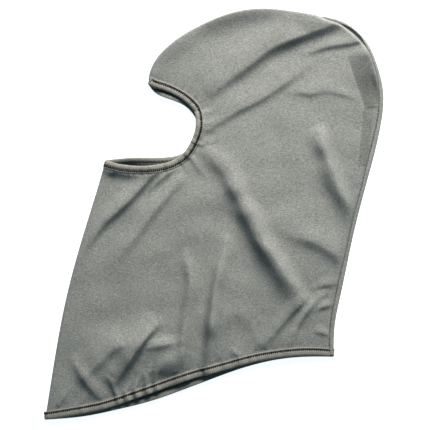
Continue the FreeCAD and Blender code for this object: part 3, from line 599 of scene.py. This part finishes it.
def mouth_loop(top_key, low_key, step=0.9):
    """The fold line of a binding: along the upper layer, round the corner and back along the lower."""
    A, NA = CURVE[top_key], NORMAL[top_key]
    B, NB = CURVE[low_key][::-1], NORMAL[low_key][::-1]
    za = upper_height(A + NA * 3.0) - FABRIC / 2
    zb = lower_height(B + NB * 4.0) + FABRIC / 2
    lean = (lower_height(B + NB * 7.0) - lower_height(B + NB * 1.0)) / 6.0
    zb = zb - 4.0 * lean

    def corner(curve, z, mid, top):
        s = np.r_[0, np.cumsum(np.linalg.norm(np.diff(curve, axis=0), axis=1))]
        e = np.minimum(s, s[-1] - s)
        roll = np.sqrt(1 - (1 - np.clip(e / 3.2, 0, 1)) ** 2)
        return mid + (z - mid) * roll

    mid = 2.35
    za, zb = corner(A, za, mid, True), corner(B, zb, mid, False)
    p = np.vstack([np.column_stack([A, za]), np.column_stack([B, zb])[1:-1]])
    n = np.vstack([np.column_stack([NA, np.zeros(len(NA))]), np.column_stack([NB, lean])[1:-1]])
    s = np.r_[0, np.cumsum(np.linalg.norm(np.diff(np.vstack([p, p[:1]]), axis=0), axis=1))]
    m = int(round(s[-1] / step))
    x = np.linspace(0, s[-1], m + 1)[:-1]
    q = np.stack([np.interp(x, s, np.r_[p[:, i], p[0, i]]) for i in range(3)], 1)
    N = np.stack([np.interp(x, s, np.r_[n[:, i], n[0, i]]) for i in range(3)], 1)
    for _ in range(3):
        q = 0.5 * q + 0.25 * (np.roll(q, 1, axis=0) + np.roll(q, -1, axis=0))
    for _ in range(14):
        N = 0.5 * N + 0.25 * (np.roll(N, 1, axis=0) + np.roll(N, -1, axis=0))
    T = tangents(q, closed=True)
    N -= T * (N * T).sum(1)[:, None]
    N /= np.linalg.norm(N, axis=1, keepdims=True)
    U = np.cross(T, N)
    return q, T, N, U, x, s[-1]


def sweep_section(q, N, U, profile):
    """A closed ring swept by a closed profile; profile is (points, 2) or one per station."""
    m = len(q)
    prof = np.asarray(profile, float)
    if prof.ndim == 2:
        prof = np.broadcast_to(prof, (m,) + prof.shape)
    k = prof.shape[1]
    V = q[:, None, :] + N[:, None, :] * prof[:, :, :1] + U[:, None, :] * prof[:, :, 1:]
    i = np.arange(m)[:, None]
    j = np.arange(k)[None, :]
    i2, j2 = (i + 1) % m, (j + 1) % k
    F = np.stack([i * k + j, i * k + j2, i2 * k + j2, i2 * k + j], 2).reshape(-1, 4)
    return V.reshape(-1, 3), F


def tube(paths, radius, sides=6):
    """Round threads along open polylines, each closed at its ends."""
    verts, faces, base = [], [], 0
    ang = np.linspace(0, 2 * np.pi, sides, endpoint=False)
    for p in paths:
        p = np.asarray(p, float)
        T = tangents(p)
        up = np.array([0.0, 0.0, 1.0])
        n = np.cross(T, up)
        bad = np.linalg.norm(n, axis=1) < 0.15
        n[bad] = np.cross(T[bad], np.array([1.0, 0.0, 0.0]))
        n[0] /= max(np.linalg.norm(n[0]), 1e-9)
        for i in range(1, len(n)):
            n[i] = n[i - 1] - T[i] * (n[i - 1] @ T[i])
            n[i] /= max(np.linalg.norm(n[i]), 1e-9)
        b = np.cross(T, n)
        ring = p[:, None, :] + radius * (np.cos(ang)[None, :, None] * n[:, None, :] + np.sin(ang)[None, :, None] * b[:, None, :])
        k = len(p)
        verts.append(ring.reshape(-1, 3))
        i = np.arange(k - 1)[:, None]
        j = np.arange(sides)[None, :]
        j2 = (j + 1) % sides
        F = np.stack([i * sides + j, i * sides + j2, (i + 1) * sides + j2, (i + 1) * sides + j], 2).reshape(-1, 4) + base
        faces.extend(F.tolist())
        faces.append((np.arange(sides)[::-1] + base).tolist())
        faces.append((np.arange(sides) + base + (k - 1) * sides).tolist())
        base += k * sides
    return np.vstack(verts), faces


def along(x, total, q, T, N, U, s, n, u):
    """Points at distances s along a loop, n into the fabric and u outwards."""
    s = np.mod(s, total)
    xs = np.r_[x, total]
    out = []
    for arr in (q, N, U):
        a = np.vstack([arr, arr[:1]])
        out.append(np.stack([np.interp(s, xs, a[:, i]) for i in range(3)], 1))
    return out[0] + out[1] * np.asarray(n)[:, None] + out[2] * np.asarray(u)[:, None]


# ------------------------------------------------------------- materials ----
class Nodes:
    def __init__(self, name):
        self.mat = bpy.data.materials.new(name)
        self.mat.use_nodes = True
        self.tree = self.mat.node_tree
        self.tree.nodes.clear()
        self.out = self.tree.nodes.new("ShaderNodeOutputMaterial")
        self.bsdf = self.tree.nodes.new("ShaderNodeBsdfPrincipled")
        self.tree.links.new(self.bsdf.outputs[0], self.out.inputs["Surface"])

    def put(self, socket, value):
        if isinstance(value, bpy.types.NodeSocket):
            self.tree.links.new(value, socket)
        else:
            socket.default_value = value

    def math(self, op, a, b=None, c=None, clamp=False):
        n = self.tree.nodes.new("ShaderNodeMath")
        n.operation, n.use_clamp = op, clamp
        for i, v in enumerate((a, b, c)):
            if v is not None:
                self.put(n.inputs[i], v)
        return n.outputs[0]

    def vec(self, op, a, b=None, scale=None):
        n = self.tree.nodes.new("ShaderNodeVectorMath")
        n.operation = op
        self.put(n.inputs[0], a)
        if b is not None:
            self.put(n.inputs[1], b)
        if scale is not None:
            self.put(n.inputs["Scale"], scale)
        return n.outputs[0]

    def noise(self, vector, scale, detail=2.0, rough=0.5):
        n = self.tree.nodes.new("ShaderNodeTexNoise")
        self.put(n.inputs["Vector"], vector)
        n.inputs["Scale"].default_value = scale
        n.inputs["Detail"].default_value = detail
        n.inputs["Roughness"].default_value = rough
        return n.outputs["Fac"]

    def map(self, v, a, b, c, d):
        n = self.tree.nodes.new("ShaderNodeMapRange")
        self.put(n.inputs["Value"], v)
        for key, x in zip(("From Min", "From Max", "To Min", "To Max"), (a, b, c, d)):
            n.inputs[key].default_value = x
        return n.outputs["Result"]

    def combine(self, x, y, z=0.0):
        n = self.tree.nodes.new("ShaderNodeCombineXYZ")
        for i, v in enumerate((x, y, z)):
            self.put(n.inputs[i], v)
        return n.outputs[0]

    def mix(self, fac, a, b, mode="MIX"):
        n = self.tree.nodes.new("ShaderNodeMix")
        n.data_type, n.blend_type = "RGBA", mode
        self.put(n.inputs["Factor"], fac)
        self.put(n.inputs[6], a)
        self.put(n.inputs[7], b)
        return n.outputs[2]

    def bump(self, height, strength, distance):
        n = self.tree.nodes.new("ShaderNodeBump")
        n.inputs["Strength"].default_value = strength
        n.inputs["Distance"].default_value = distance
        self.put(n.inputs["Height"], height)
        self.put(self.bsdf.inputs["Normal"], n.outputs["Normal"])


def grey(v, tint=(1.0, 1.0, 1.0)):
    return (v * tint[0], v * tint[1], v * tint[2], 1.0)


def knit(name, base, tint, uv=False, bands=(), wale=0.86, course=0.66, contrast=1.0, rough=0.5, sheen=0.25):
    """Fine satin jersey: rows of V stitches, mottled fibres, and faint streaks along the courses."""
    g = Nodes(name)
    tc = g.tree.nodes.new("ShaderNodeTexCoord")
    if uv:
        co = tc.outputs["UV"]
    else:
        co = g.vec("SCALE", tc.outputs["Object"], scale=1000.0)
    sep = g.tree.nodes.new("ShaderNodeSeparateXYZ")
    g.put(sep.inputs[0], co)
    sway = g.noise(co, 0.045, 1.0)
    u = g.math("ADD", sep.outputs[0], g.math("MULTIPLY", sway, 2.2))
    v = g.math("ADD", sep.outputs[1], g.math("MULTIPLY", sway, 1.6))
    flat = g.combine(u, v, sep.outputs[2])
    a = g.math("MULTIPLY", g.math("ABSOLUTE", g.math("SUBTRACT", g.math("FRACT", g.math("DIVIDE", u, wale)), 0.5)), 2.0)
    phase = g.math("ADD", g.math("DIVIDE", v, course), g.math("MULTIPLY", a, 0.62))
    loop = g.math("ADD", g.math("MULTIPLY", g.math("COSINE", g.math("MULTIPLY", phase, 2 * math.pi)), 0.5), 0.5)
    rib = g.math("SUBTRACT", 1.0, g.math("POWER", a, 3.0))
    stitch = g.math("ADD", g.math("MULTIPLY", g.math("MULTIPLY", loop, rib), 0.6), g.math("MULTIPLY", rib, 0.4))
    fibre = g.noise(flat, 1.25, 3.0, 0.62)
    fine = g.noise(flat, 3.6, 2.0, 0.6)
    streak = g.noise(g.combine(g.math("MULTIPLY", u, 0.22), g.math("MULTIPLY", v, 1.5), sep.outputs[2]), 0.9, 2.0, 0.6)
    cloud = g.noise(flat, 0.035, 3.0, 0.55)
    grain = g.noise(g.combine(g.math("MULTIPLY", u, 0.62), v, sep.outputs[2]), 0.86, 3.0, 0.66)
    tone = g.map(fibre, 0.28, 0.72, 1 - 0.20 * contrast, 1 + 0.20 * contrast)
    tone = g.math("MULTIPLY", tone, g.map(grain, 0.3, 0.7, 1 - 0.36 * contrast, 1 + 0.36 * contrast))
    tone = g.math("MULTIPLY", tone, g.map(fine, 0.3, 0.7, 1 - 0.10 * contrast, 1 + 0.10 * contrast))
    tone = g.math("MULTIPLY", tone, g.map(streak, 0.3, 0.7, 1 - 0.13 * contrast, 1 + 0.13 * contrast))
    tone = g.math("MULTIPLY", tone, g.map(cloud, 0.3, 0.7, 0.965, 1.035))
    tone = g.math("MULTIPLY", tone, g.map(stitch, 0.0, 1.0, 0.80, 1.10))
    # painted shade: the colour is darkened inside sharp-edged bands, each bounded by the given lines, where the sloping
    # facets beside the back seam fall into shade
    shade = None
    for lines, amount in bands:
        inside_all = None
        for a, b, c, blur in lines:
            d = g.math("ADD", g.math("ADD", g.math("MULTIPLY", sep.outputs[0], a), g.math("MULTIPLY", sep.outputs[1], b)), c)
            m = g.map(d, -blur, blur, 0.0, 1.0)
            inside_all = m if inside_all is None else g.math("MULTIPLY", inside_all, m)
        one = g.math("SUBTRACT", 1.0, g.math("MULTIPLY", inside_all, amount))
        shade = one if shade is None else g.math("MULTIPLY", shade, one)
    if shade is not None:
        tone = g.math("MULTIPLY", tone, shade)
    n = g.tree.nodes.new("ShaderNodeMix")
    n.data_type, n.blend_type = "RGBA", "MULTIPLY"
    n.inputs["Factor"].default_value = 1.0
    cool = g.mix(g.map(fibre, 0.35, 0.65, 0.0, 1.0), grey(base, (tint[0] * 0.96, tint[1], tint[2] * 1.04)), grey(base, (tint[0] * 1.04, tint[1], tint[2] * 0.95)))
    g.put(n.inputs[6], cool)
    g.put(n.inputs[7], g.combine(tone, tone, tone))
    g.put(g.bsdf.inputs["Base Color"], n.outputs[2])
    g.put(g.bsdf.inputs["Roughness"], g.map(fine, 0.3, 0.7, rough - 0.05, rough + 0.10))
    g.bsdf.inputs["Specular IOR Level"].default_value = 0.08
    g.bsdf.inputs["Sheen Weight"].default_value = sheen
    g.bsdf.inputs["Sheen Roughness"].default_value = 0.45
    g.bump(g.math("ADD", stitch, g.math("MULTIPLY", fine, 0.5)), 0.45, 0.00016)
    return g.mat


def thread_material(name, base):
    g = Nodes(name)
    tc = g.tree.nodes.new("ShaderNodeTexCoord")
    co = g.vec("SCALE", tc.outputs["Object"], scale=1000.0)
    n1 = g.noise(co, 4.0, 2.0)
    w = g.tree.nodes.new("ShaderNodeTexWave")
    g.put(w.inputs["Vector"], co)
    w.bands_direction = "DIAGONAL"
    w.inputs["Scale"].default_value = 1.1
    w.inputs["Distortion"].default_value = 1.5
    g.put(g.bsdf.inputs["Base Color"], g.mix(n1, grey(base * 0.6), grey(base * 1.6)))
    g.put(g.bsdf.inputs["Roughness"], g.map(n1, 0.3, 0.7, 0.6, 0.8))
    g.bsdf.inputs["Specular IOR Level"].default_value = 0.2
    g.bump(w.outputs["Fac"], 0.5, 0.0001)
    return g.mat


def elastic_material(name):
    g = Nodes(name)
    tc = g.tree.nodes.new("ShaderNodeTexCoord")
    sep = g.tree.nodes.new("ShaderNodeSeparateXYZ")
    g.put(sep.inputs[0], tc.outputs["UV"])
    rib = g.math("SINE", g.math("MULTIPLY", sep.outputs[1], 7.0))
    n1 = g.noise(tc.outputs["UV"], 2.0, 2.0)
    g.put(g.bsdf.inputs["Base Color"], g.mix(n1, grey(0.50), grey(0.66)))
    g.put(g.bsdf.inputs["Roughness"], g.map(n1, 0.3, 0.7, 0.7, 0.85))
    g.bump(rib, 0.4, 0.0001)
    return g.mat


def floor_material(name):
    g = Nodes(name)
    tc = g.tree.nodes.new("ShaderNodeTexCoord")
    n1 = g.noise(tc.outputs["Object"], 3.0, 2.0)
    g.put(g.bsdf.inputs["Base Color"], g.mix(n1, (0.60, 0.62, 0.65, 1), (0.62, 0.64, 0.66, 1)))
    g.bsdf.inputs["Roughness"].default_value = 0.9
    g.bsdf.inputs["Emission Color"].default_value = (0.97, 0.985, 1.0, 1)
    g.bsdf.inputs["Emission Strength"].default_value = 0.91
    g.bsdf.inputs["Specular IOR Level"].default_value = 0.1
    return g.mat


TINT = (0.963, 1.0, 1.0)


def side_of(p, q, blur):
    """The line through p and q as (a, b, c): positive on its left, in millimetres."""
    dx, dy = q[0] - p[0], q[1] - p[1]
    r = math.hypot(dx, dy)
    return -dy / r, dx / r, (dy * p[0] - dx * p[1]) / r, blur


# painted shade: two sharp-edged bands over the sloping facets beside the back seam, darkened by 34 % and 26 % in the
# satin knit's colour
BACK_SEAM_PAINTED_SHADE = [
    ([side_of((139.6, 164.5), (157.2, 113.6), 0.7), side_of((156.0, 113.4), (176.0, 116.6), 0.7), side_of((168.0, 173.5), (136.0, 161.5), 6.0)], 0.34),
    ([side_of((156.6, 112.0), (150.4, 48.0), 0.7), side_of((159.2, 46.0), (167.6, 112.0), 1.6), side_of((150.0, 52.0), (165.0, 52.0), 8.0), side_of((176.0, 115.8), (156.0, 112.6), 1.0)], 0.26),
]
KNIT = knit("satin_knit", 0.198, TINT, rough=0.7, sheen=0.05, bands=BACK_SEAM_PAINTED_SHADE)
KNIT_UNDER = knit("satin_knit_under", 0.198, TINT, rough=0.7, sheen=0.05)
BIND = knit("binding_knit", 0.19, (1.01, 1.0, 0.95), uv=True, wale=0.8, course=0.62, contrast=0.7, rough=0.7, sheen=0.05)
DARK = thread_material("dark_thread", 0.006)
GREYT = thread_material("grey_thread", 0.10)
ELASTIC = elastic_material("elastic_rubber")


# ------------------------------------------------------------- pieces -------
def fix_normals(ob):
    import bmesh
    bm = bmesh.new()
    bm.from_mesh(ob.data)
    bmesh.ops.recalc_face_normals(bm, faces=bm.faces)
    bm.to_mesh(ob.data)
    bm.free()
    ob.data.polygons.foreach_set("use_smooth", np.ones(len(ob.data.polygons), bool))
    ob.data.update()


V, groups = upper_panel()
V, F = thicken(V, groups, FABRIC)
left_cloth = mesh_object("left_cloth", V, F, KNIT)
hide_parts("left_side_panel")

V, groups = lower_panel()
V, F = thicken(V, groups, FABRIC)
right_cloth = mesh_object("right_cloth", V, F, KNIT_UNDER)
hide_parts("right_side_panel")

FACE_PROFILE = [
    (0, 0.05), (0.15, 0.62), (0.6, 1.12), (1.3, 1.45), (2.2, 1.58), (3.1, 1.52), (3.9, 1.28), (4.5, 0.98), (4.85, 0.72),
    (5.3, 0.62), (5.75, 0.66), (6.0, 0.86), (6.3, 1.08), (6.8, 1.15), (7.3, 1.02), (7.6, 0.75), (7.65, 0.5),
    (7.4, 0.4), (5.5, 0.4), (3.5, 0.4), (3.3, 0.52), (1.2, 0.52), (0.95, 0.3), (0.95, -0.3), (1.2, -0.52), (3.3, -0.52),
    (3.5, -0.4), (6.5, -0.4), (7.0, -0.44), (7.2, -0.6), (7.0, -0.85), (6.2, -1.0), (5.5, -0.75), (4.9, -0.72),
    (4.2, -0.95), (3.2, -1.2), (2.2, -1.28), (1.2, -1.15), (0.5, -0.82), (0.1, -0.4)]
FACE_PROFILE = [(1.11 * a, b) for a, b in FACE_PROFILE]
HEM_PROFILE = [
    (0, 0.05), (0.15, 0.6), (0.6, 1.0), (1.3, 1.25), (2.4, 1.36), (3.6, 1.36), (4.7, 1.22), (5.4, 0.98), (5.8, 0.7),
    (6.3, 0.6), (6.8, 0.64), (7.1, 0.85), (7.5, 1.02), (8.0, 1.05), (8.5, 0.92), (8.75, 0.7), (8.8, 0.5),
    (8.5, 0.4), (5.0, 0.4), (1.6, 0.4), (1.3, 0.2), (1.3, -0.2), (1.6, -0.4), (5.0, -0.4), (8.2, -0.4),
    (8.5, -0.6), (8.2, -0.85), (7.3, -0.95), (6.6, -0.7), (5.8, -0.7), (5.0, -0.95), (3.6, -1.1), (2.2, -1.1),
    (1.1, -0.98), (0.4, -0.65), (0.08, -0.3)]


def binding(name, top_key, low_key, profile, seed, join=None):
    ring = mouth_loop(top_key, low_key)
    q, T, N, U, x, total = ring
    prof = np.repeat(np.array(profile)[None], len(q), 0)
    r = np.random.default_rng(seed)
    ph = r.uniform(0, 6.28, 4)
    pucker = 0.05 * np.sin(2 * np.pi * x / 4.1 + ph[0] + np.sin(x / 13 + ph[1])) + 0.04 * np.sin(2 * np.pi * x / 9.3 + ph[2]) + 0.03 * np.sin(2 * np.pi * x / 2.6 + ph[3])
    prof[:, :, 1] *= (1 + pucker)[:, None]
    edge = prof[:, :, 0] > 0.8 * prof[:, :, 0].max()
    prof[:, :, 0] += np.where(edge, 0.14 * np.sin(2 * np.pi * x / 5.7 + ph[1])[:, None], 0)
    if join is not None:
        s0 = x[int(((q[:, :2] - np.array(join)) ** 2).sum(1)[: len(q) // 2].argmin())]
        notch = np.exp(-(((x - s0) / 0.6) ** 2))
        lap = smoothstep(s0 + 0.3, s0 + 1.2, x) * (1 - smoothstep(s0 + 6.5, s0 + 8.5, x))
        prof[:, :, 1] *= (1 - 0.30 * notch + 0.18 * lap)[:, None]
        prof[:, :, 0] += ((0.5 * notch - 0.35 * lap)[:, None]) * (prof[:, :, 0] < 2)
    V, F = sweep_section(q, N, U, prof)
    m, k = len(q), prof.shape[1]
    c = np.r_[0, np.cumsum(np.linalg.norm(np.diff(np.vstack([profile, profile[:1]]), axis=0), axis=1))]
    i, j = np.meshgrid(np.arange(m), np.arange(k), indexing="ij")
    xs = np.r_[x, total]
    uv = np.stack([np.stack([xs[i], c[j]], 2), np.stack([xs[i], c[j + 1]], 2), np.stack([xs[i + 1], c[j + 1]], 2), np.stack([xs[i + 1], c[j]], 2)], 2).reshape(-1, 2)
    ob = mesh_object(name, V, F.tolist(), BIND)
    layer = ob.data.uv_layers.new(name="cloth")
    layer.data.foreach_set("uv", np.asarray(uv, np.float32).ravel())
    fix_normals(ob)
    return ob, ring


hem_band, HEM_RING = binding("hem_band", "hem_top", "hem_low", HEM_PROFILE, 3, join=(-10.8, -169.4))
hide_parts("hem_binding")
face_band, FACE_RING = binding("face_band", "face_top", "face_low", FACE_PROFILE, 4)
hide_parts("face_opening_binding")

# elastic inside the face binding
q, T, N, U, x, total = FACE_RING
V, F = sweep_section(q, N, U, [(1.1, 0.16), (1.2, 0.24), (3.1, 0.24), (3.2, 0.16), (3.2, -0.16), (3.1, -0.24), (1.2, -0.24), (1.1, -0.16)])
face_elastic = mesh_object("face_elastic", V, F.tolist(), ELASTIC, uv=np.column_stack([np.repeat(x, 8), np.tile(np.arange(8) * 0.5, len(x))]))
fix_normals(face_elastic)
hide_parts("face_opening_elastic")


def row_points(ring, s, n, u):
    q, T, N, U, x, total = ring
    return along(x, total, q, T, N, U, np.asarray(s, float), n, u)


def cover_stitch(ring, n0, n1, u, pitch, slant, r, seed, sink=0.25):
    """Short bars across the edge of a binding, joined by a line of thread along them."""
    total = ring[5]
    count = int(round(total / pitch))
    g = np.random.default_rng(seed)
    paths = []
    s = (np.arange(count) + g.uniform(-0.09, 0.09, count)) * total / count
    t = np.linspace(0, 1, 5)
    for k in range(count):
        a, b = n0 + g.uniform(-0.07, 0.07), n1 + g.uniform(-0.1, 0.1)
        arch = u + 0.16 * np.sin(np.pi * t) - sink * (1 - np.sin(np.pi * t)) ** 3
        paths.append(row_points(ring, s[k] + slant * (t - 0.5), a + (b - a) * t, arch))
    steps = np.linspace(0, total, int(total / 0.7))
    wave = 0.3 * n0 + 0.7 * n1 + 0.10 * np.sin(2 * np.pi * steps / (total / count))
    line = row_points(ring, steps, wave, np.full(len(steps), u - 0.02) + 0.07 * np.cos(2 * np.pi * steps / (total / count)))
    return paths, line


def stitched(name, ring, n0, n1, u, pitch, slant, r, seed, material):
    paths, line = cover_stitch(ring, n0, n1, u, pitch, slant, r, seed)
    V, F = tube(paths, r, 6)
    # the joining line is real thread, and it is also laid thick in the binding's groove to darken it: partly painted
    # shade
    W, G = tube([line], 0.75 * r, 6)
    F = F + [[i + len(V) for i in f] for f in G]
    ob = mesh_object(name, np.vstack([V, W]), F, material)
    fix_normals(ob)
    return ob


face_stitches = stitched("face_stitches", FACE_RING, 4.5, 6.9, 1.36, 2.1, 0.35, 0.45, 11, DARK)
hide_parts("face_binding_needle_thread")
hem_stitches = stitched("hem_stitches", HEM_RING, 5.2, 7.6, 1.24, 2.2, 0.7, 0.40, 12, DARK)
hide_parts("hem_needle_thread")


def looper(name, ring, n0, n1, u, pitch, r, material):
    total = ring[5]
    count = int(round(total / pitch))
    k = np.arange(count * 4 + 1) / 4.0
    s = k * total / count
    tri = 0.5 - 0.5 * np.cos(np.pi * k)
    p = row_points(ring, s, n0 + (n1 - n0) * tri, np.full(len(s), u) - 0.06 * np.cos(2 * np.pi * k))
    V, F = tube([p], r, 6)
    ob = mesh_object(name, V, F, material)
    fix_normals(ob)
    return ob


face_looper = looper("face_looper", FACE_RING, 3.6, 5.5, -1.3, 2.1, 0.36, DARK)
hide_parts("face_binding_looper_thread")
hem_looper = looper("hem_looper", HEM_RING, 5.5, 7.4, -1.02, 2.2, 0.24, DARK)
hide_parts("hem_looper_thread")


# stitches that show in the groove of the seam round the back of the head
C, NB = CURVE["back"], NORMAL["back"]
paths = []
g = np.random.default_rng(7)
s_all = _back_s
pos = np.arange(7.0, s_all[-1] - 8.0, 2.15)
for s in pos:
    k = int(np.clip(np.searchsorted(s_all, s), 0, len(C) - 1))
    c, nn, w, sn = C[k], NB[k], BACK_TOP[k], SEAM_IN[k]
    t = np.linspace(0, 1, 5)
    tang = np.array([nn[1], -nn[0]])
    if w > 0.5:
        d = sn - 0.55 + 1.5 * t - 1.2 * GAP[k]
        z = 4.05 - 0.55 * np.sin(np.pi * t) + 0.25 * t - 0.4 * GAP[k]
        slant = g.uniform(0.3, 0.6)
    else:
        d = -0.05 + 0.9 * t
        z = 2.0 - 1.1 * t
        slant = 0.4
    xy = c + nn * d[:, None] + tang * (slant * (t - 0.5))[:, None]
    paths.append(np.column_stack([xy, z]))
V, F = tube(paths, 0.2, 6)
back_stitches = mesh_object("back_seam_stitches", V, F, DARK)
fix_normals(back_stitches)
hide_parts("crown_back_seam_thread")

C2, NF = CURVE["front"], NORMAL["front"]
front_s = np.arange(len(C2)) * STEP
paths = []
for s in np.arange(9.0, front_s[-1] - 9.0, 2.15):
    k = int(s / STEP)
    t = np.linspace(0, 1, 5)
    d = 0.5 + 1.5 * t
    z = 1.15 - 0.75 * np.sin(np.pi * t) ** 0.5 * 0.5 - 0.2 * t
    tang = np.array([NF[k][1], -NF[k][0]])
    xy = C2[k] + NF[k] * d[:, None] + tang * (0.4 * (t - 0.5))[:, None]
    paths.append(np.column_stack([xy, z]))
V, F = tube(paths, 0.2, 6)
front_stitches = mesh_object("front_seam_stitches", V, F, DARK)
fix_normals(front_stitches)
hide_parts("front_seam_thread")


def overlock(name, curve, normal, seam_in, top, ends):
    """Thread looped round the raw edges of the two allowances, inside the garment."""
    s = np.arange(len(curve)) * STEP
    q = np.arange(ends[0], s[-1] - ends[1], 0.42)
    turn = 2 * np.pi * q / 2.5
    k = np.clip((q / STEP).astype(int), 0, len(curve) - 1)
    d = seam_in[k] + 5.0 + 1.5 * np.cos(turn)
    zc = 2.45 * top[k] + 2.2 * (1 - top[k])
    z = zc + 0.75 * np.sin(turn)
    xy = curve[k] + normal[k] * d[:, None]
    V, F = tube([np.column_stack([xy, z])], 0.15, 6)
    ob = mesh_object(name, V, F, GREYT)
    fix_normals(ob)
    return ob


back_overlock = overlock("back_overlock", C, NB, SEAM_IN, BACK_TOP, (10.0, 10.0))
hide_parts("crown_back_overlock_thread")
front_overlock = overlock("front_overlock", C2, NF, np.zeros(len(C2)), np.zeros(len(C2)), (10.0, 12.0))
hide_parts("front_overlock_thread")

# bar tack and loose thread end where the hem strip's ends overlap
q, T, N, U, x, total = HEM_RING
s0 = x[int(((q[:, :2] - np.array([-10.8, -169.4])) ** 2).sum(1)[: len(q) // 2].argmin())]
t = np.linspace(0, 1, 33)
zig = row_points(HEM_RING, s0 + 0.35 * np.sign(np.sin(t * 2 * np.pi * 8 + 0.01)) + 0.1, 1.2 + 6.6 * t, 1.0 + 0.25 * np.sin(np.pi * t))
tail = row_points(HEM_RING, s0 + np.linspace(0.2, -3.0, 14) + 0.5 * np.sin(np.linspace(0, 4, 14)), np.linspace(7.6, 10.2, 14) - 1.2 * np.sin(np.linspace(0, 3, 14)), 1.2 + 0.5 * np.sin(np.linspace(0.4, 3.3, 14)))
tail2 = row_points(HEM_RING, s0 + np.linspace(0.3, 1.6, 9), np.linspace(1.2, -0.8, 9), 1.2 - np.linspace(0, 1.2, 9))
V, F = tube([zig, tail, tail2], 0.17, 6)
hem_tack = mesh_object("hem_tack", V, F, DARK)
fix_normals(hem_tack)
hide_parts("hem_join_bar_tack")

# ------------------------------------------------------------- stage --------
bpy.ops.mesh.primitive_plane_add(size=8, location=(0, 0, 0))
floor = bpy.context.object
floor.name = "floor"
floor.data.materials.append(floor_material("pale_floor"))

world = bpy.context.scene.world or bpy.data.worlds.new("world")
bpy.context.scene.world = world
world.use_nodes = True
bg = world.node_tree.nodes.get("Background")
bg.inputs[0].default_value = (0.40, 0.84, 1.0, 1)
bg.inputs[1].default_value = 0.165


def area(name, loc, target, size, power, colour):
    light = bpy.data.lights.new(name, "AREA")
    light.shape, light.size, light.energy, light.color = "DISK", size, power, colour
    ob = bpy.data.objects.new(name, light)
    ob.location = loc
    from mathutils import Vector
    ob.rotation_euler = (Vector(target) - Vector(loc)).to_track_quat("-Z", "Y").to_euler()
    bpy.context.scene.collection.objects.link(ob)
    return ob


area("key", (0.29, 1.33, 0.83), (0, 0, 0), 0.85, 74, (1.0, 0.95, 0.855))

cam = bpy.data.cameras.new("camera")
cam.lens, cam.sensor_width = 198.9, 36
camera = bpy.data.objects.new("camera", cam)
camera.location = (0.0005, -0.0008, 2.5)
cam.clip_start, cam.clip_end = 0.05, 50
bpy.context.scene.collection.objects.link(camera)
bpy.context.scene.camera = camera
bpy.context.scene.view_settings.view_transform = "Standard"
